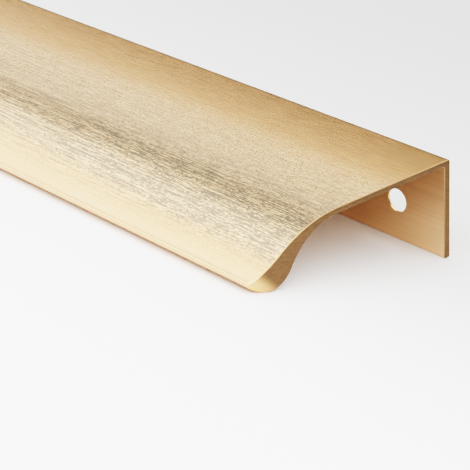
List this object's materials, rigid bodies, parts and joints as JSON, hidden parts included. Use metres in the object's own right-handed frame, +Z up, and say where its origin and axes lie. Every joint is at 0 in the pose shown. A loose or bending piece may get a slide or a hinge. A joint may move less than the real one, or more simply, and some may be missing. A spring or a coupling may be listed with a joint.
{
  "type": "cabinet edge pull",
  "caption": "Over-the-edge cabinet pull: a straight extruded bar with a flat top, a screw flange behind and a flared, round-nosed finger lip in front.",
  "frame": {"origin": "middle of the pull's box, on the floor that it rests on", "axes": "+X along the pull, -Y to the finger lip, +Z up, as it lies on flange edge and nose"},
  "size_m": [0.15, 0.0456, 0.0176],
  "materials": {
    "brushed_gold": "brushed lengthwise and gold anodised"
  },
  "bodies": {
    "root": {"edge_pull": "brushed_gold"}
  },
  "joints": []
}
